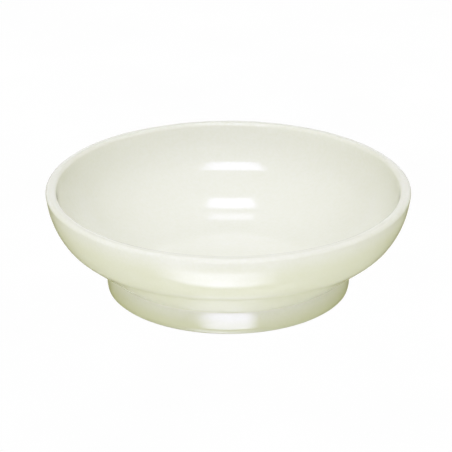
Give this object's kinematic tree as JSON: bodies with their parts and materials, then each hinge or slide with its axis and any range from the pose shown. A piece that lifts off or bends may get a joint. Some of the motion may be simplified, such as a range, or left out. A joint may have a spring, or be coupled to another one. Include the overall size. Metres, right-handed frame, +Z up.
{
  "type": "evaporating dish",
  "caption": "Shallow round porcelain dish with a bulged wall, a thick rounded rim and a short straight foot ring, for evaporating liquids.",
  "frame": {"origin": "centre of the foot ring's bearing face, which is the bottom centre of the dish", "axes": "+Z up along the axis of the dish, from the foot to the rim; X and Y are alike, because the dish is round"},
  "size_m": [0.125, 0.125, 0.0368],
  "materials": {
    "clay_body": "matte",
    "bare_clay": "matte",
    "slip": "matte",
    "glaze_inside": "gloss",
    "glaze_outside": "gloss",
    "glaze_underside": "gloss"
  },
  "bodies": {
    "root": {"bowl": "clay_body", "foot_ring": "bare_clay", "luting_slip": "slip", "glaze_inside": "glaze_inside", "glaze_outside": "glaze_outside", "glaze_underside": "glaze_underside"}
  },
  "joints": []
}
